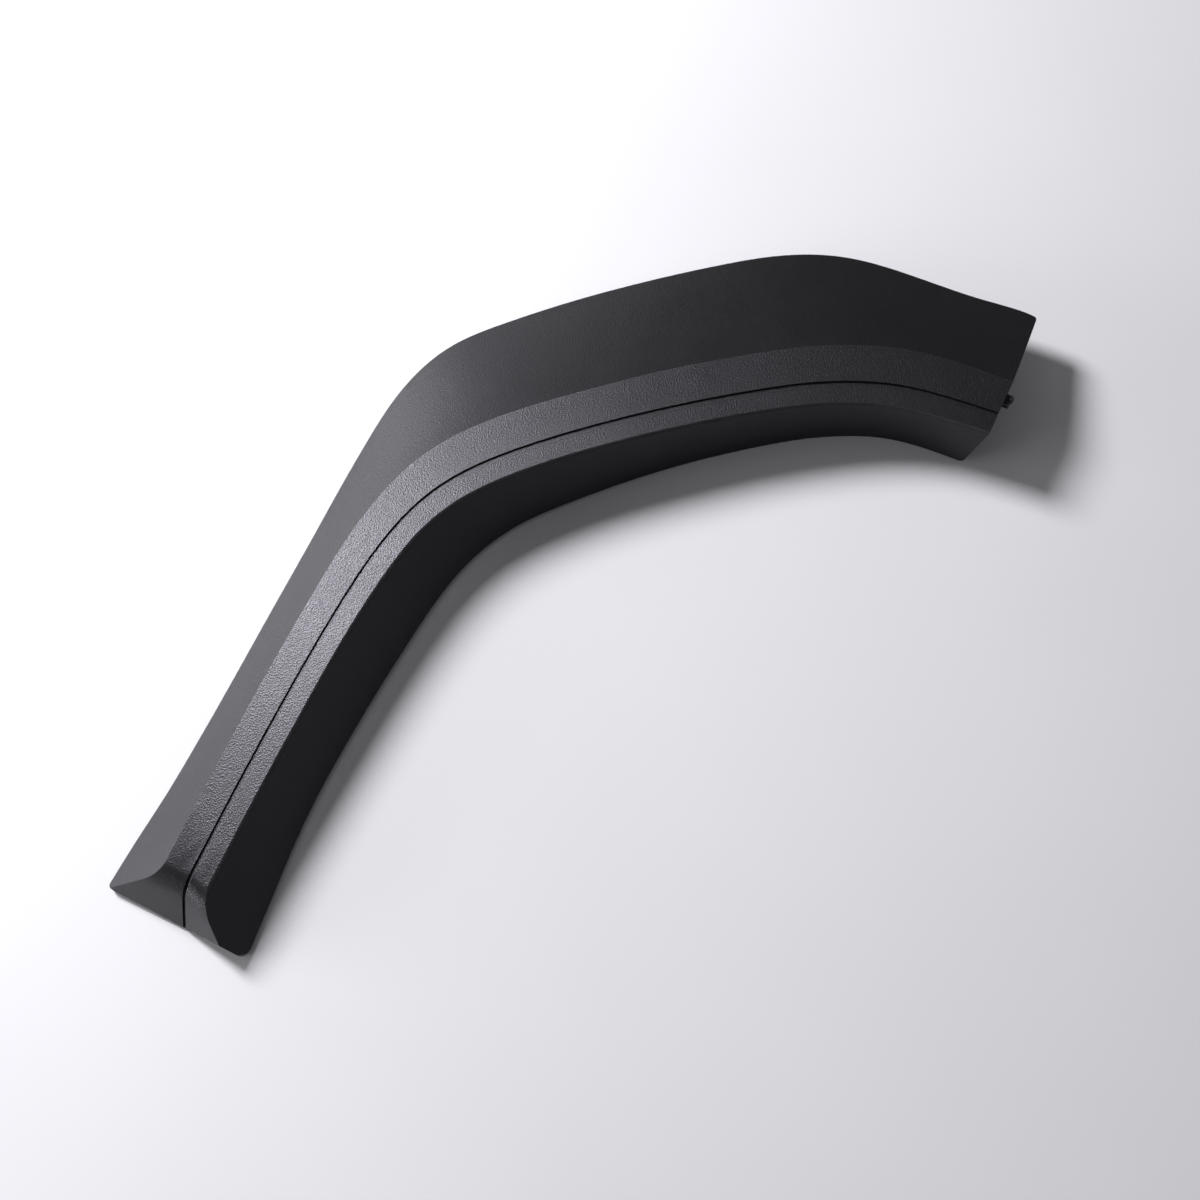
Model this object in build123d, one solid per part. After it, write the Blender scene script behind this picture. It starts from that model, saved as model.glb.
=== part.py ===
from build123d import *
import math
import os

import numpy as np

# Wheel arch trim, millimetres. X runs along the top of the arch towards the open joint end,
# Y away from the wheel, Z outwards from the vehicle's side. The trim lies on its open back.

# ---------------------------------------------------------------- driving dimensions
WALL = 2.8              # moulded wall thickness
RIM_EXTRA = 0.5         # depth of the filled body below the inner wall at the rims
LIP_R = 2.2             # radius of the edge between lower band and inner wall
RIM_R = 1.0             # radius of the outer edge on the vehicle side
CROWN = 0.010           # crown of the upper face, as a share of its width

GROOVE_W = 2.3          # groove along the band
GROOVE_D = 2.0
BEAD_W = 7.0            # bead behind the groove that keeps the wall thick
STEP_W = 2.2            # shallow step beside the groove, on the wheel side
STEP_D = 0.6
STEP_FROM = 20.0        # the step starts this far up the leg
STEP_FADE = 30.0        # and reaches its width over this length

END_S = -36.0           # where the end face would meet the rest plane, along the groove path
END_RIM_S = -34.5       # upright rim at the foot of the end face
END_SKEW = 0.044        # run of the end face along the path per offset
END_SIDE = 0.31         # more run on the wheel side of the groove, where the end stands fuller
END_CREST_S = -11.9     # where end face and band would meet if sharp
END_CREST_Z = 36.9
END_ROLL_R = 24.0       # roll-over radius of the closed end
GROOVE_END_SHIFT = 3.5  # sideways run of the groove on the end face
CORNER_R_OUTER = 4.5    # foot corners of the closed end, seen from above
CORNER_R_INNER = 8.0

WALL_SWEEP = 0.6        # hollow of the inner wall: turn from its chord at either end, degrees

CUT_R_OUTER = 3.0       # corners of the open cut: at the outer edge, at the foot of the wall
CUT_R_FOOT = 4.0

RIB_T = 2.0             # stiffening ribs on the back
RIB_D = 12.0
RIB_S = (100.0, 228.0, 350.0, 478.0, 601.0, 706.0)

# clip seats on the back: path length and offset from the groove
SEATS = ((45.0, -5.0), (165.0, -5.0), (290.0, -8.0), (415.0, -13.0), (540.0, -13.0), (655.0, -13.0))
SEAT_L, SEAT_W, SEAT_WALL = 24.0, 20.0, 2.0
SEAT_Z0, SEAT_FLOOR = 13.5, 2.4     # underside of the seat floor above the rest plane, floor thickness
SLOT_W = 8.4
CLIP_NECK_R = 4.0
CLIP_PLATE_R, CLIP_PLATE_T = 7.0, 1.6
CLIP_FLANGE_R, CLIP_FLANGE_T = 8.5, 1.4
CLIP_SHANK_R, CLIP_SHANK_L = 3.6, 6.5
CLIP_TIP_L = 3.5
GAP = 0.06              # play between a clip and its seat
INTO_BAND = 2.4         # ribs and seats run up into the wall, to this depth below the band

# tongue at the joint end and the clip on it
TONGUE_S0, TONGUE_S1 = 734.0, 767.0
TONGUE_N0, TONGUE_N1 = -21.6, -13.8
TONGUE_Z0, TONGUE_Z1 = 38.6, 41.0

# Sections along the groove: path length, groove position x and y, heading in degrees,
# then for outer edge, crease, lower edge and bottom edge: offset towards the wheel, height.
SECTIONS = [
    (-57.5, -357.4, -206.4, 51.25, -61.7, 3.2, -19.8, 35.7, 15.6, 35.7, 53.7, 3.0),
    (-29.0, -339.6, -184.2, 51.22, -60.0, 3.2, -20.0, 36.5, 15.7, 36.5, 51.9, 3.0),
    (0.0, -321.4, -161.6, 51.18, -58.3, 3.4, -20.1, 37.4, 15.8, 37.4, 49.7, 3.1),
    (39.3, -296.7, -131.1, 50.75, -55.2, 3.7, -20.3, 38.8, 16.0, 38.8, 46.3, 3.3),
    (79.4, -271.2, -100.1, 50.21, -53.9, 3.9, -20.6, 40.3, 16.2, 40.4, 44.1, 3.4),
    (125.5, -241.5, -64.9, 49.53, -54.0, 3.9, -20.8, 42.1, 16.4, 42.1, 44.2, 3.5),
    (172.7, -210.5, -29.2, 48.26, -55.5, 3.8, -21.2, 43.6, 16.3, 43.7, 45.3, 3.5),
    (215.7, -181.5, 2.6, 46.51, -57.9, 3.4, -21.9, 44.7, 16.6, 44.8, 46.6, 3.6),
    (254.1, -154.5, 29.7, 42.44, -62.2, 2.8, -23.4, 45.4, 17.1, 45.5, 46.9, 3.6),
    (287.4, -128.9, 51.0, 35.35, -70.7, 2.4, -25.0, 45.8, 17.5, 45.8, 46.5, 3.5),
    (315.3, -105.1, 65.6, 26.39, -84.2, 2.4, -27.3, 46.0, 18.1, 46.0, 45.4, 3.5),
    (343.3, -79.0, 75.7, 17.13, -104.5, 2.8, -29.7, 46.0, 18.4, 46.0, 42.8, 3.3),
    (376.8, -46.3, 82.8, 9.04, -122.9, 3.9, -30.8, 45.9, 18.5, 45.8, 39.0, 3.1),
    (415.9, -7.5, 86.9, 4.29, -128.0, 5.7, -31.0, 45.8, 18.1, 45.6, 36.0, 2.8),
    (466.5, 43.0, 89.1, 1.08, -129.6, 8.5, -30.8, 45.7, 18.1, 45.4, 32.1, 2.3),
    (523.0, 99.5, 88.7, -2.04, -130.4, 12.2, -31.6, 45.7, 18.0, 45.2, 28.3, 1.6),
    (579.6, 156.1, 85.2, -5.23, -131.0, 16.6, -31.4, 46.0, 18.0, 45.4, 25.4, 0.9),
    (619.2, 195.4, 80.4, -10.13, -130.3, 20.4, -31.9, 46.5, 18.4, 45.8, 23.8, 0.6),
    (653.0, 228.2, 72.7, -17.03, -124.3, 24.0, -31.7, 47.0, 18.5, 46.3, 22.6, 0.5),
    (686.6, 259.5, 60.6, -26.09, -110.8, 27.6, -32.0, 47.6, 19.0, 46.9, 21.5, 0.5),
    (725.4, 292.6, 40.3, -34.57, -102.9, 30.9, -31.6, 48.5, 18.9, 47.8, 21.7, 1.2),
    (769.3, 328.0, 14.4, -35.81, -100.6, 34.0, -30.4, 49.6, 18.3, 48.9, 23.3, 3.3),
    (818.1, 367.7, -14.0, -35.43, -99.0, 36.8, -28.7, 50.8, 17.5, 50.0, 25.1, 5.6),
]

# Three points of the plane that cuts the open joint end
CUT_OUTER = (386.6, 95.5, 33.8)
CUT_LIP = (308.4, 2.5, 48.8)
CUT_FOOT = (300.9, 6.3, 3.3)

TAB = np.array(SECTIONS, float)


# ---------------------------------------------------------------- interpolation along the path
def hermite(xs, ys, ms, x):
    i = int(np.clip(np.searchsorted(xs, x) - 1, 0, len(xs) - 2))
    h = xs[i + 1] - xs[i]
    u = (x - xs[i]) / h
    return (
        (1 + 2 * u) * (1 - u) ** 2 * ys[i]
        + u * (1 - u) ** 2 * h * ms[i]
        + u * u * (3 - 2 * u) * ys[i + 1]
        + u * u * (u - 1) * h * ms[i + 1]
    )


def slopes(xs, ys):
    d = np.diff(ys) / np.diff(xs)
    m = np.empty(len(xs))
    m[0], m[-1] = d[0], d[-1]
    h = np.diff(xs)
    m[1:-1] = (d[:-1] * h[1:] + d[1:] * h[:-1]) / (h[1:] + h[:-1])
    return m


S_ALL = TAB[:, 0]
HEAD = np.radians(TAB[:, 3])
SLOPE = {c: slopes(S_ALL, TAB[:, c]) for c in range(3, 12)}


def unit(a, b):
    d = (b[0] - a[0], b[1] - a[1])
    q = math.hypot(*d)
    return (d[0] / q, d[1] / q), q


def along(p, d, k):
    return (p[0] + d[0] * k, p[1] + d[1] * k)


class Station:
    """Section of the trim at path length s."""

    def __init__(self, s):
        self.s = s
        self.x = hermite(S_ALL, TAB[:, 1], np.cos(HEAD), s)
        self.y = hermite(S_ALL, TAB[:, 2], np.sin(HEAD), s)
        a = math.radians(hermite(S_ALL, TAB[:, 3], SLOPE[3], s))
        self.t = (math.cos(a), math.sin(a))
        self.m = (math.sin(a), -math.cos(a))
        v = [hermite(S_ALL, TAB[:, c], SLOPE[c], s) for c in range(4, 12)]
        self.p1, self.p2 = (v[0], v[1]), (v[2], v[3])
        self.p4, self.p5 = (v[4], v[5]), (v[6], v[7])
        # inner wall: a nearly straight arc from the lip to the bottom edge
        d, chord = unit(self.p4, self.p5)
        turn = math.radians(WALL_SWEEP)
        self.wall_r = chord / (2 * math.sin(turn))
        mid = along(self.p4, d, chord / 2)
        self.wall_c = along(mid, (-d[1], d[0]), self.wall_r * math.cos(turn))
        self.wall_a = [math.atan2(q[1] - self.wall_c[1], q[0] - self.wall_c[0]) % (2 * math.pi) for q in (self.p4, self.p5)]

    def wall(self, k, depth=0.0, past=0.0):
        """Point of the inner wall, from lip (0) to bottom edge (1), at a depth below its skin."""
        a = self.wall_a[0] + k * (self.wall_a[1] - self.wall_a[0]) + past / self.wall_r
        r = self.wall_r + depth
        return (self.wall_c[0] + r * math.cos(a), self.wall_c[1] + r * math.sin(a))

    def at(self, n, z):
        return Vector(self.x + self.m[0] * n, self.y + self.m[1] * n, z)

    def band_z(self, n):
        (n2, z2), (n4, z4) = self.p2, self.p4
        return z2 + (z4 - z2) * (n - n2) / (n4 - n2)


# ---------------------------------------------------------------- filled bodies at a depth below the skin
def body_wire(st, depth):
    """Upper face and inner wall, both carried on above the band, closed below."""
    u, width = unit(st.p1, st.p2)
    out, _ = unit(st.wall_c, st.p4)
    w = (-out[1], out[0])
    iu = (u[1], -u[0])
    crown = CROWN * width
    rad = width * width / (8 * crown) + crown / 2
    mid = along(st.p1, u, width / 2)
    centre = along(mid, iu, rad - crown)
    r = rad - depth
    half = math.asin(width / 2 / rad)
    up = math.atan2(-iu[1], -iu[0])

    def on_arc(k):
        a = up - k
        return (centre[0] + r * math.cos(a), centre[1] + r * math.sin(a))

    hi = half + 12.0 / rad
    lo = -half if depth == 0 else -half - 9.0 / rad
    arc = [st.at(*q) for q in (on_arc(lo), on_arc((lo + hi) / 2), on_arc(hi))]
    edges = [Edge.make_three_point_arc(*arc)]
    if depth == 0:
        # rounded lower edge: an arc off the wall, then a shallow line through the band
        e, _ = unit(st.p4, st.p2)
        k, tilt = LIP_R * 0.8, math.radians(15)
        f = (e[0] * math.cos(tilt) + e[1] * math.sin(tilt), e[1] * math.cos(tilt) - e[0] * math.sin(tilt))
        q = along(st.p4, e, k)
        m = ((q[0] - st.p4[0]) * f[1] - (q[1] - st.p4[1]) * f[0]) / (w[0] * f[1] - w[1] * f[0])
        x = along(st.p4, w, m)
        half_open = math.acos(f[0] * w[0] + f[1] * w[1]) / 2
        run = LIP_R / math.tan(half_open)
        bis, _ = unit((0, 0), (f[0] + w[0], f[1] + w[1]))
        mid_lip = along(x, bis, LIP_R / math.sin(half_open) - LIP_R)
        top, t2, tm, t1 = [st.at(*r) for r in (along(x, f, 12.0), along(x, f, run), mid_lip, along(x, w, run))]
        foot, c1 = st.at(*st.p5), st.at(*st.wall(1, WALL + RIM_EXTRA))
        c0 = st.at(*along(st.p1, iu, WALL + RIM_EXTRA))
        edges += [
            Edge.make_line(arc[2], top),
            Edge.make_line(top, t2),
            Edge.make_three_point_arc(t2, tm, t1),
            Edge.make_three_point_arc(t1, st.at(*st.wall(0.5)), foot),
        ]
    else:
        top, mid_w, end = st.wall(0, depth, -12.0), st.wall(0.5, depth), st.wall(1, depth, 7.0)
        foot = st.at(*end)
        c1, c0 = st.at(end[0], -28.0), st.at(on_arc(lo)[0], -28.0)
        edges += [Edge.make_line(arc[2], st.at(*top)), Edge.make_three_point_arc(st.at(*top), st.at(*mid_w), foot)]
    edges += [Edge.make_line(foot, c1), Edge.make_line(c1, c0), Edge.make_line(c0, arc[0])]
    return Wire(edges)


END_SLOPE = END_CREST_Z / (END_CREST_S - END_S)


def end_profile(depth):
    """Height of band, roll-over and end face along the path, at a depth below the skin."""
    s0 = Station(END_CREST_S)
    s1 = Station(40.0)
    k = (s1.band_z(0) - s0.band_z(0)) / (40.0 - END_CREST_S)
    a_end, a_band = math.atan(END_SLOPE), math.atan(k)
    r = max(END_ROLL_R - depth, 2.0)
    # lines z = a + b s, both moved in by depth
    be, bb = END_SLOPE, k
    ae = -END_SLOPE * END_S - depth / math.cos(a_end)
    ab = s0.band_z(0) - k * END_CREST_S - depth / math.cos(a_band)
    # centre of the roll: r below both
    ce, cb = ae - r / math.cos(a_end), ab - r / math.cos(a_band)
    sc = (cb - ce) / (be - bb)
    zc = ce + be * sc
    sa = sc - r * math.sin(a_end)
    sb = sc - r * math.sin(a_band)

    def z(st, n):
        s = st.s + END_SKEW * min(max(n, -70.0), 60.0) + END_SIDE * min(max(n - 1.0, 0.0), 60.0)
        if s <= sa:
            drop = ab + bb * s - ae - be * s
        elif s < sb:
            drop = ab + bb * s - zc - math.sqrt(r * r - (s - sc) ** 2)
        else:
            drop = 0.0
        return st.band_z(n) - depth - drop

    return z, sa, sb


def groove_n(s):
    """Offset of the groove: it leaves the path only on the end face."""
    if s > END_CREST_S:
        return 0.0
    return GROOVE_END_SHIFT * min(1.3, (END_CREST_S - s) / (END_CREST_S - END_S)) ** 1.4


def roof(depth, notch_w, step):
    """Everything below the band, its roll-over and the end face, less the groove."""
    z, sa, sb = end_profile(depth)
    z_floor, _, _ = end_profile(depth + GROOVE_D)
    ss = list(np.arange(sa - 24.0, sa - 3.5, 3.0)) + list(np.linspace(sa - 3.0, sb + 3.0, 11))
    grow = 3.0
    while ss[-1] < 800:
        ss.append(ss[-1] + grow)
        grow = min(grow * 1.35, 26.0)
    wires = []
    for s in ss:
        st = Station(s)
        c = groove_n(s)
        l, r = c - notch_w / 2, c + notch_w / 2
        q = [(-175.0, z(st, -175.0)), (l, z(st, l)), (l, z_floor(st, l)), (r, z_floor(st, r))]
        if step:
            f = min(1.0, max(0.15, (s - STEP_FROM) / STEP_FADE))
            k = r + STEP_W * f
            q += [(r, z(st, r) - STEP_D * f), (k, z(st, k) - STEP_D * f), (k, z(st, k))]
        else:
            q += [(r, z(st, r))]
        q += [(n, z(st, n)) for n in (9.0, 16.0, 24.0, 34.0, 46.0, 82.0)]
        q += [(82.0, -60.0), (-175.0, -60.0)]
        wires.append(Wire.make_polygon([st.at(*a) for a in q], close=True))
    return Solid.make_loft(wires)


def body(depth):
    ss = [-57.5, -43.0, -29.0, -14.0] + [float(s) for s in S_ALL[2:]]
    return Solid.make_loft([body_wire(Station(s), depth) for s in ss])


def one(shape):
    """Largest solid of a result."""
    return max(shape.solids(), key=lambda q: q.volume)


def on_line(edge, pts, tol):
    ok = 0
    for u in (0.2, 0.5, 0.8):
        p = edge.position_at(u)
        if min((p - q).length for q in pts) < tol:
            ok += 1
    return ok == 3


# ---------------------------------------------------------------- helpers for the back
def local(s, n, z):
    """Frame of a section: X along the path, Y away from the wheel, Z up."""
    st = Station(s)
    return Plane(origin=st.at(n, z), x_dir=(st.t[0], st.t[1], 0), z_dir=(0, 0, 1))


def lift(pl, dx, dz):
    return Plane(origin=pl.from_local_coords((dx, 0, dz)), x_dir=pl.x_dir, z_dir=pl.z_dir)


def block(s, n0, n1, z0, z1, length):
    """Box of a given length along the path, from offset n0 to n1."""
    pl = local(s, (n0 + n1) / 2, z0)
    return extrude(pl * Rectangle(length, abs(n1 - n0)), z1 - z0).solids()[0]


def disc(pl, r, z0, z1):
    return extrude(lift(pl, 0, z0) * Circle(r), z1 - z0).solids()[0]


def slice_of(s, pts, length):
    """Plate of a given length along the path, its outline given in the section."""
    st = Station(s)
    h = length / 2
    ring = [st.at(*q) + Vector(-st.t[0] * h, -st.t[1] * h, 0) for q in pts]
    return Solid.extrude(Face(Wire.make_polygon(ring, close=True)), Vector(st.t[0] * length, st.t[1] * length, 0))


def skin(st, n, depth):
    """Height of the upper face or the band at offset n, at a depth below the skin."""
    if n >= st.p2[0]:
        return st.band_z(n) - depth
    u, _ = unit(st.p1, st.p2)
    return st.p1[1] + (n - st.p1[0]) * u[1] / u[0] - depth / u[0]


def in_wall(st, z, depth):
    """Offset of the inner wall at height z, at a depth below its skin."""
    r = st.wall_r + depth
    return st.wall_c[0] - math.sqrt(r * r - (z - st.wall_c[1]) ** 2)


def corner_cutter(s, n, side, r):
    """Upright cutter that rounds a foot corner of the closed end."""
    st = Station(s)

    def at(ds, dn):
        q = st.at(n + side * dn, -12.0)
        return Vector(q.X + st.t[0] * ds, q.Y + st.t[1] * ds, q.Z)

    k = r * (1 - math.sqrt(0.5))
    w = Wire(
        [
            Edge.make_line(at(-6, -6), at(r, -6)),
            Edge.make_line(at(r, -6), at(r, 0)),
            Edge.make_three_point_arc(at(r, 0), at(k, k), at(0, r)),
            Edge.make_line(at(0, r), at(-6, r)),
            Edge.make_line(at(-6, r), at(-6, -6)),
        ]
    )
    return Solid.extrude(Face(w), Vector(0, 0, 40))


def corner_round(p, d1, d2, r, through):
    """Cutter that rounds the corner between directions d1 and d2 from p."""
    d1, d2 = d1.normalized(), d2.normalized()
    half = math.acos(d1.dot(d2)) / 2
    run = r / math.tan(half)
    bis = (d1 + d2).normalized()
    q1, q2 = p + d1 * run, p + d2 * run
    mid = p + bis * (r / math.sin(half) - r)
    f1, f2 = q1 - d2 * 6, q2 - d1 * 6
    far = p - d1 * 6 - d2 * 6
    edges = [Edge.make_line(q1, f1), Edge.make_line(f1, far), Edge.make_line(far, f2), Edge.make_line(f2, q2)]
    w = Wire(edges + [Edge.make_three_point_arc(q2, mid, q1)])
    return Solid.extrude(Face(w.moved(Location(through * -0.5))), through)


def edges_near(shape, pts, tol=4.0, least=60):
    return [e for e in shape.edges() if e.length > least and on_line(e, pts, tol)]


# ---------------------------------------------------------------- the moulded shell
outer = one(body(0) & roof(0, GROOVE_W, True))
inner = one(body(WALL) & roof(WALL, BEAD_W, False))

a, b, c = Vector(*CUT_OUTER), Vector(*CUT_LIP), Vector(*CUT_FOOT)
normal = (b - a).cross(c - a).normalized()
if normal.X < 0:
    normal = normal * -1
end_plane = Plane(origin=(a + b + c) / 3, z_dir=normal)
end_cutter = extrude(end_plane * Rectangle(700, 700), 250).solids()[0]

outer = one(outer - end_cutter)
dense = [Station(float(s)) for s in np.arange(-40, 790, 2.0)]
rim = edges_near(outer, [st.at(*st.p1) for st in dense], 1.6, 300)
outer = one(outer.fillet(RIM_R, rim))
foot_end = Station(END_RIM_S)
turn = math.atan(END_SKEW)
side = Vector(*foot_end.m, 0).rotate(Axis.Z, -math.degrees(turn))
rim_plane = Plane(origin=foot_end.at(0, 0), x_dir=side, z_dir=(0, 0, 1))
rim_block = extrude(rim_plane * Pos(0, -15) * Rectangle(260, 30), 80, both=True).solids()[0]
outer = one(outer - rim_block)
inner = one(inner - extrude(rim_plane * Pos(0, WALL - 15) * Rectangle(260, 30), 80, both=True).solids()[0])
outer = one(outer - corner_cutter(END_RIM_S + 59.7 * END_SKEW, -59.7, 1, CORNER_R_OUTER))
outer = one(outer - corner_cutter(END_RIM_S - 51.6 * END_SKEW, 51.6, -1, CORNER_R_INNER))


def cut_point(which):
    """Where an edge of the section meets the open cut, and the edge's direction back from there."""
    lo, hi = 700.0, 815.0
    for _ in range(40):
        s = (lo + hi) / 2
        st = Station(s)
        lo, hi = (lo, s) if (st.at(*getattr(st, which)) - c).dot(normal) > 0 else (s, hi)
    near, far = Station(lo), Station(lo - 4.0)
    q = near.at(*getattr(near, which))
    return q, far.at(*getattr(far, which)) - q


# rounded corners of the open cut
q, back = cut_point("p1")
edge = Vector(normal.Y, -normal.X, 0)
edge = edge if edge.Y < 0 else edge * -1
outer = one(outer - corner_round(Vector(q.X, q.Y, 25), Vector(back.X, back.Y, 0), edge, CUT_R_OUTER, Vector(0, 0, 60)))
q, back = cut_point("p5")
across = Vector(back.Y, -back.X, 0).normalized()
rise = across.cross(normal)
rise = rise if rise.Z > 0 else rise * -1
back = back - across * back.dot(across)
outer = one(outer - corner_round(q, back, rise, CUT_R_FOOT, across * 16))
shell = one(outer - inner)

# stiffening ribs across the back
add = []
for s in RIB_S:
    st = Station(s)
    n_a, n_c = st.p1[0] + 14.0, st.p2[0]
    z_low = st.p5[1] + 9.0
    z_top = st.band_z(st.p4[0]) - INTO_BAND
    z_in = st.band_z(st.p4[0]) - WALL - RIB_D
    n_k = n_c + 6.0
    ring = [
        (n_a, skin(st, n_a, 1.0)),
        (n_c - 3.0, skin(st, n_c - 3.0, 1.2)),
        (n_c + 0.8, st.band_z(n_c + 0.8) - INTO_BAND),
        *[(in_wall(st, z, 1.6), z) for z in np.linspace(z_top, z_low, 8)],
        (in_wall(st, z_low, 1.6) - 5.0, z_low),
        (in_wall(st, z_in, WALL + RIB_D), z_in),
        (n_k, st.band_z(n_k) - WALL - RIB_D),
        (n_a, skin(st, n_a, 1.0) - 5.0),
    ]
    add.append(slice_of(s, ring, RIB_T))

# clip seats: U-shaped boxes with a slotted floor, and the clips in them
clips = []
for s, n in SEATS:
    pl = local(s, n, SEAT_Z0)
    na, nb = n - SEAT_W / 2, n + SEAT_W / 2
    rings = []
    for q in (Station(s - SEAT_L / 2), Station(s + SEAT_L / 2)):
        za, zb = q.band_z(na) - INTO_BAND, q.band_z(nb) - INTO_BAND
        ring = [q.at(na, SEAT_Z0), q.at(na, za), q.at(nb, zb), q.at(nb, SEAT_Z0)]
        rings.append(Wire.make_polygon(ring, close=True))
    tower = Solid.make_loft(rings, True)
    hollow = extrude(lift(pl, SEAT_WALL, SEAT_FLOOR) * Rectangle(SEAT_L, SEAT_W - 2 * SEAT_WALL), 70)
    slot = pl * (Circle(SLOT_W / 2) + Pos(SEAT_L / 2, 0) * Rectangle(SEAT_L, SLOT_W))
    tower = tower - hollow - extrude(slot, SEAT_FLOOR + 1)
    add += tower.solids()
    z_top = SEAT_FLOOR + GAP
    zs = -GAP - CLIP_FLANGE_T
    clip = disc(pl, CLIP_NECK_R, -GAP - 0.2, z_top + 0.2)
    clip = clip + disc(pl, CLIP_PLATE_R, z_top, z_top + CLIP_PLATE_T)
    clip = clip + disc(pl, CLIP_FLANGE_R, zs, -GAP)
    clip = clip + disc(pl, CLIP_SHANK_R, zs - CLIP_SHANK_L, zs + 0.2)
    clip = clip + lift(pl, 0, zs - CLIP_SHANK_L - CLIP_TIP_L / 2) * Cone(1.6, CLIP_SHANK_R, CLIP_TIP_L)
    clips.append(one(clip))

# tongue with three webs up to the band
s_mid = (TONGUE_S0 + TONGUE_S1) / 2
z_web = Station(746.0).band_z(TONGUE_N0) - 2.05
add += [
    block(s_mid, TONGUE_N0, TONGUE_N1, TONGUE_Z0, TONGUE_Z1, TONGUE_S1 - TONGUE_S0),
    block(746.0, TONGUE_N0, TONGUE_N0 + 2.0, TONGUE_Z0, z_web, 24.0),
    block(746.0, TONGUE_N1 - 2.0, TONGUE_N1, TONGUE_Z0, z_web, 24.0),
    block(735.0, TONGUE_N0, TONGUE_N1, TONGUE_Z0, z_web, 2.0),
]
# the groove stops at the rim of the closed end
g_end = groove_n(END_RIM_S)
add.append(block(END_RIM_S + 1.07, g_end - GROOVE_W / 2 - 0.5, g_end + GROOVE_W / 2 + 0.5, 0.5, 2.0, 2.25))
shell = one(shell.fuse(*add))

# clip that sits on the tongue: a U of plastic with a round knob on its nose
clip_body = block(766.0, TONGUE_N0 - 0.6, TONGUE_N1 + 0.4, TONGUE_Z0 - 1.8, TONGUE_Z1 + 1.8, 6.0)
clip_slot = block(763.0, TONGUE_N0 - 5, TONGUE_N1 + 5, TONGUE_Z0 - GAP, TONGUE_Z1 + GAP, 8.0 + 2 * GAP)
end_clip = one(clip_body - clip_slot)
end_clip = one(end_clip.fillet(0.6, end_clip.edges().filter_by(Axis.Z)))
knob = disc(local(768.6, TONGUE_N0 + 2.3, 0), 2.3, TONGUE_Z0 - 1.0, TONGUE_Z1 + 2.8)
knob = one(knob.fillet(0.7, knob.edges().filter_by(GeomType.CIRCLE)))
knob = one(knob - block(763.0, TONGUE_N0 - 5, TONGUE_N1 + 5, TONGUE_Z0 - 3, TONGUE_Z1 + 5, 8.0 + 2 * GAP))
end_clip = one(end_clip + knob)

# ---------------------------------------------------------------- rest plane
# origin below the middle of the trim, on the plane it lies on
pts = np.array([tuple(q) for q in shell.tessellate(0.02, 0.1)[0]])
low, high = pts.min(axis=0), pts.max(axis=0)
rest = Location((float(-(low[0] + high[0]) / 2), float(-(low[1] + high[1]) / 2), float(-low[2])))

os.makedirs("parts", exist_ok=True)
export_step(shell.moved(rest), "parts/arch_shell.step")
export_step(Compound(children=[q.moved(rest) for q in clips]), "parts/body_clips.step")
export_step(end_clip.moved(rest), "parts/end_clip.step")
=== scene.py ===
import math

import bpy
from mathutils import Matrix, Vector

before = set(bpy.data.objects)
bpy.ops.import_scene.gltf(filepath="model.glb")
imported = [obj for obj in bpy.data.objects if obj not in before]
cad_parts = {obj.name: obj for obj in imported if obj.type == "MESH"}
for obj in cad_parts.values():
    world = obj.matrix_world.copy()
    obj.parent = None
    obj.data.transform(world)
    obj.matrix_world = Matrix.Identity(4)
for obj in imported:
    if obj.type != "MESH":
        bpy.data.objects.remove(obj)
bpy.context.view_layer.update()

scene = bpy.context.scene
scene.view_settings.view_transform = "Standard"
scene.view_settings.look = "None"


# ---------------------------------------------------------------- node helpers
class Nodes:
    """Thin wrapper that adds and links shader nodes."""

    def __init__(self, name):
        self.mat = bpy.data.materials.new(name)
        self.mat.use_nodes = True
        self.tree = self.mat.node_tree
        self.tree.nodes.clear()
        self.out = self.add("ShaderNodeOutputMaterial")
        self.bsdf = self.add("ShaderNodeBsdfPrincipled")
        self.link(self.bsdf.outputs["BSDF"], self.out.inputs["Surface"])

    def add(self, kind, **values):
        node = self.tree.nodes.new(kind)
        for key, value in values.items():
            setattr(node, key, value)
        return node

    def link(self, a, b):
        self.tree.links.new(a, b)

    def math(self, op, a, b=None, c=None, clamp=False):
        node = self.add("ShaderNodeMath", operation=op, use_clamp=clamp)
        for i, v in enumerate((a, b, c)):
            if v is None:
                continue
            if isinstance(v, (int, float)):
                node.inputs[i].default_value = v
            else:
                self.link(v, node.inputs[i])
        return node.outputs[0]

    def span(self, value, lo, hi, to_lo, to_hi, smooth=True):
        node = self.add("ShaderNodeMapRange", interpolation_type="SMOOTHSTEP" if smooth else "LINEAR")
        self.link(value, node.inputs["Value"])
        for key, v in (("From Min", lo), ("From Max", hi), ("To Min", to_lo), ("To Max", to_hi)):
            node.inputs[key].default_value = v
        return node.outputs["Result"]

    def noise(self, where, scale, detail=2.0, rough=0.5):
        node = self.add("ShaderNodeTexNoise")
        self.link(where, node.inputs["Vector"])
        node.inputs["Scale"].default_value = scale
        node.inputs["Detail"].default_value = detail
        node.inputs["Roughness"].default_value = rough
        return node.outputs["Fac"]

    def cells(self, where, scale, feature="SMOOTH_F1", smooth=0.4, random=1.0):
        node = self.add("ShaderNodeTexVoronoi", feature=feature)
        self.link(where, node.inputs["Vector"])
        node.inputs["Scale"].default_value = scale
        node.inputs["Randomness"].default_value = random
        if feature == "SMOOTH_F1":
            node.inputs["Smoothness"].default_value = smooth
        return node.outputs["Distance"]

    def mix(self, fac, a, b):
        node = self.add("ShaderNodeMix", data_type="RGBA")
        self.link(fac, node.inputs[0])
        node.inputs[6].default_value = (*a, 1.0)
        node.inputs[7].default_value = (*b, 1.0)
        return node.outputs[2]


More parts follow.
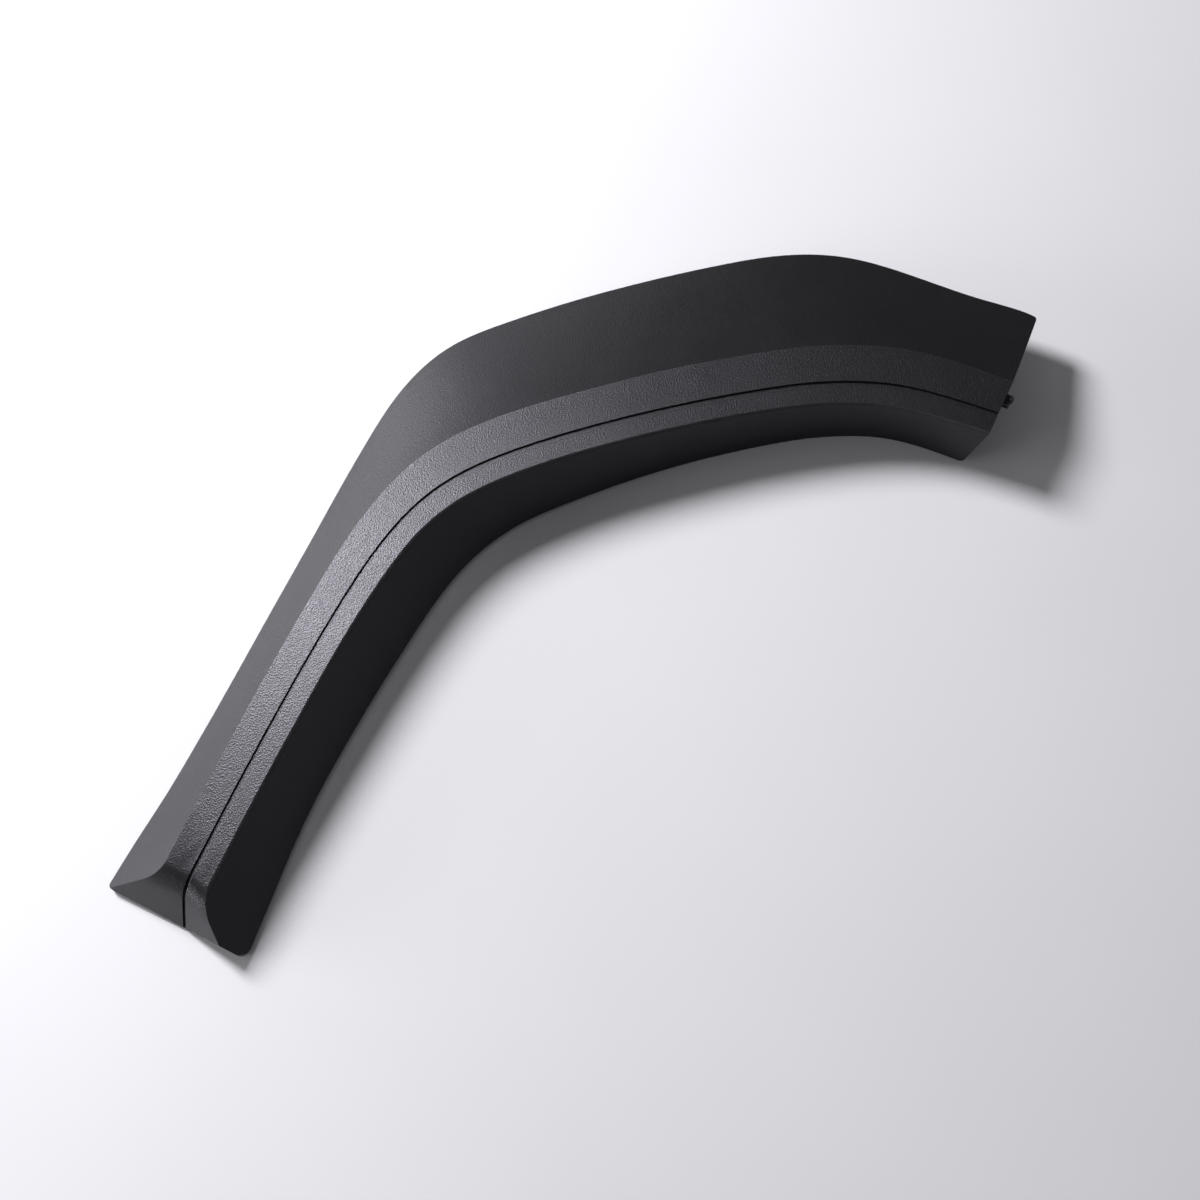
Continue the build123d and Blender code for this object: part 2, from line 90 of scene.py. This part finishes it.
# ---------------------------------------------------------------- moulded shell
def shell_material():
    m = Nodes("moulded_black_plastic")
    geo = m.add("ShaderNodeNewGeometry")
    pos = geo.outputs["Position"]

    # 0 on the smooth wall towards the wheel, 1 on the grained faces
    sep_n = m.add("ShaderNodeSeparateXYZ")
    m.link(geo.outputs["True Normal"], sep_n.inputs[0])
    sep_p = m.add("ShaderNodeSeparateXYZ")
    m.link(pos, sep_p.inputs[0])
    dx = m.math("SUBTRACT", 0.060, sep_p.outputs["X"])
    dy = m.math("SUBTRACT", -0.200, sep_p.outputs["Y"])
    length = m.math("SQRT", m.math("ADD", m.math("MULTIPLY", dx, dx), m.math("MULTIPLY", dy, dy)))
    dot = m.math("ADD", m.math("MULTIPLY", dx, sep_n.outputs["X"]), m.math("MULTIPLY", dy, sep_n.outputs["Y"]))
    facing = m.math("DIVIDE", dot, length)
    grained = m.span(facing, 0.25, 0.60, 1.0, 0.0)

    # leather-like moulded grain
    warp = m.add("ShaderNodeTexNoise")
    m.link(pos, warp.inputs["Vector"])
    warp.inputs["Scale"].default_value = 620.0
    warp.inputs["Detail"].default_value = 1.0
    shift = m.add("ShaderNodeVectorMath", operation="MULTIPLY_ADD")
    m.link(warp.outputs["Color"], shift.inputs[0])
    shift.inputs[1].default_value = (0.0005, 0.0005, 0.0005)
    m.link(pos, shift.inputs[2])
    bent = shift.outputs[0]
    pebble = m.cells(bent, 950.0)
    fine = m.noise(pos, 2600.0, 2.0, 0.6)
    grain = m.math("ADD", m.math("MULTIPLY", pebble, 0.8), m.math("MULTIPLY", fine, 0.35))
    # the sloped upper face is grained deeper than the flat band
    deep = m.span(sep_n.outputs["Z"], 0.90, 0.97, 1.7, 1.0)
    height = m.math("MULTIPLY", m.math("MULTIPLY", grain, grained), deep)

    bevel = m.add("ShaderNodeBevel", samples=4)
    bevel.inputs["Radius"].default_value = 0.0005
    bump = m.add("ShaderNodeBump")
    bump.inputs["Strength"].default_value = 0.50
    bump.inputs["Distance"].default_value = 0.00031
    m.link(height, bump.inputs["Height"])
    m.link(bevel.outputs["Normal"], bump.inputs["Normal"])
    m.link(bump.outputs["Normal"], m.bsdf.inputs["Normal"])

    # colour: slightly lighter grain tops, faint drift over the length
    drift = m.noise(pos, 9.0, 3.0, 0.55)
    tone = m.math("ADD", m.math("MULTIPLY", pebble, 0.55), m.math("MULTIPLY", drift, 0.45))
    m.link(m.mix(tone, (0.0026, 0.0026, 0.0030), (0.0054, 0.0054, 0.0060)), m.bsdf.inputs["Base Color"])

    # roughness: satin grain, smoother wall, faint handling drift
    smear = m.noise(pos, 22.0, 4.0, 0.6)
    speckle = m.math("MULTIPLY", m.span(m.noise(pos, 1250.0, 1.0, 0.5), 0.3, 0.7, -0.035, 0.035, False), grained)
    rough = m.math("ADD", m.span(smear, 0.3, 0.7, -0.012, 0.012), m.span(grained, 0.0, 1.0, 0.64, 0.33, False))
    rough = m.math("ADD", rough, speckle)
    m.link(rough, m.bsdf.inputs["Roughness"])
    m.bsdf.inputs["Specular IOR Level"].default_value = 0.5
    m.bsdf.inputs["Specular Tint"].default_value = (0.95, 0.93, 1.0, 1.0)
    return m.mat


# ---------------------------------------------------------------- clips
def clip_material(name, dark, light):
    m = Nodes(name)
    geo = m.add("ShaderNodeNewGeometry")
    pos = geo.outputs["Position"]
    flow = m.noise(pos, 160.0, 4.0, 0.6)
    m.link(m.mix(flow, dark, light), m.bsdf.inputs["Base Color"])
    m.link(m.span(flow, 0.3, 0.7, 0.42, 0.56), m.bsdf.inputs["Roughness"])
    bevel = m.add("ShaderNodeBevel", samples=4)
    bevel.inputs["Radius"].default_value = 0.0003
    bump = m.add("ShaderNodeBump")
    bump.inputs["Strength"].default_value = 0.25
    bump.inputs["Distance"].default_value = 0.0002
    m.link(m.noise(pos, 1800.0, 2.0, 0.5), bump.inputs["Height"])
    m.link(bevel.outputs["Normal"], bump.inputs["Normal"])
    m.link(bump.outputs["Normal"], m.bsdf.inputs["Normal"])
    return m.mat


def dress(node, mat):
    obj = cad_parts[node]
    obj.data.materials.clear()
    obj.data.materials.append(mat)
    return obj


dress("arch_shell", shell_material())
dress("body_clips", clip_material("clip_plastic", (0.022, 0.022, 0.024), (0.036, 0.036, 0.038)))
dress("end_clip", clip_material("end_clip_plastic", (0.010, 0.010, 0.011), (0.018, 0.018, 0.019)))

# ---------------------------------------------------------------- floor
bpy.ops.mesh.primitive_plane_add(size=9.0, location=(0.0, 0.0, 0.0))
floor = bpy.context.object
floor.name = "studio_floor"
f = Nodes("studio_floor")
f_geo = f.add("ShaderNodeNewGeometry")
f_tone = f.noise(f_geo.outputs["Position"], 5.0, 3.0, 0.5)
f.link(f.mix(f_tone, (0.80, 0.80, 0.81), (0.84, 0.84, 0.85)), f.bsdf.inputs["Base Color"])
f.bsdf.inputs["Roughness"].default_value = 0.9
f.bsdf.inputs["Specular IOR Level"].default_value = 0.2
floor.data.materials.append(f.mat)

# ---------------------------------------------------------------- light
world = bpy.data.worlds.new("studio_air")
scene.world = world
world.use_nodes = True
world.node_tree.nodes["Background"].inputs["Color"].default_value = (0.95, 0.95, 1.0, 1.0)
world.node_tree.nodes["Background"].inputs["Strength"].default_value = 0.12


def area(name, direction, distance, size, watts, size_y=None, target=(0.0, 0.0, 0.0)):
    data = bpy.data.lights.new(name, "AREA")
    data.shape = "DISK" if size_y is None else "RECTANGLE"
    data.size = size
    if size_y is not None:
        data.size_y = size_y
    data.energy = watts
    data.color = (0.965, 0.960, 1.0)
    lamp = bpy.data.objects.new(name, data)
    scene.collection.objects.link(lamp)
    d = Vector(direction).normalized()
    lamp.location = Vector(target) + d * distance
    lamp.rotation_euler = d.to_track_quat("Z", "Y").to_euler()
    return lamp


area("soft_key", (-0.47, 0.63, 0.565), 2.5, 0.75, 94.0)
area("left_wall", (-0.97, 0.10, 0.11), 2.0, 1.4, 31.0, 0.75)
area("back_wall", (-0.60, 0.79, 0.12), 2.8, 1.3, 16.5, 0.5)
area("back_fill", (-0.10, 0.97, 0.17), 2.8, 1.2, 2.9, 0.6)
sheen = area("overhead_sheen", (-0.23, 0.41, 0.88), 2.4, 0.60, 55.0)
sheen.visible_diffuse = False

# ---------------------------------------------------------------- camera
SHIFT = Vector((0.000236266, 0.000117728, -0.000178169))
cam_data = bpy.data.cameras.new("camera")
cam = bpy.data.objects.new("camera", cam_data)
scene.collection.objects.link(cam)
cam_data.sensor_width = 36.0
cam_data.lens = 45.36
cam_data.dof.use_dof = False
cam.location = Vector((-0.100, -0.405, 1.0656)) + SHIFT
aim = Vector((0.0004, -0.0304, 0.0)) + SHIFT
cam.rotation_euler = (cam.location - aim).to_track_quat("Z", "Y").to_euler()
scene.camera = cam
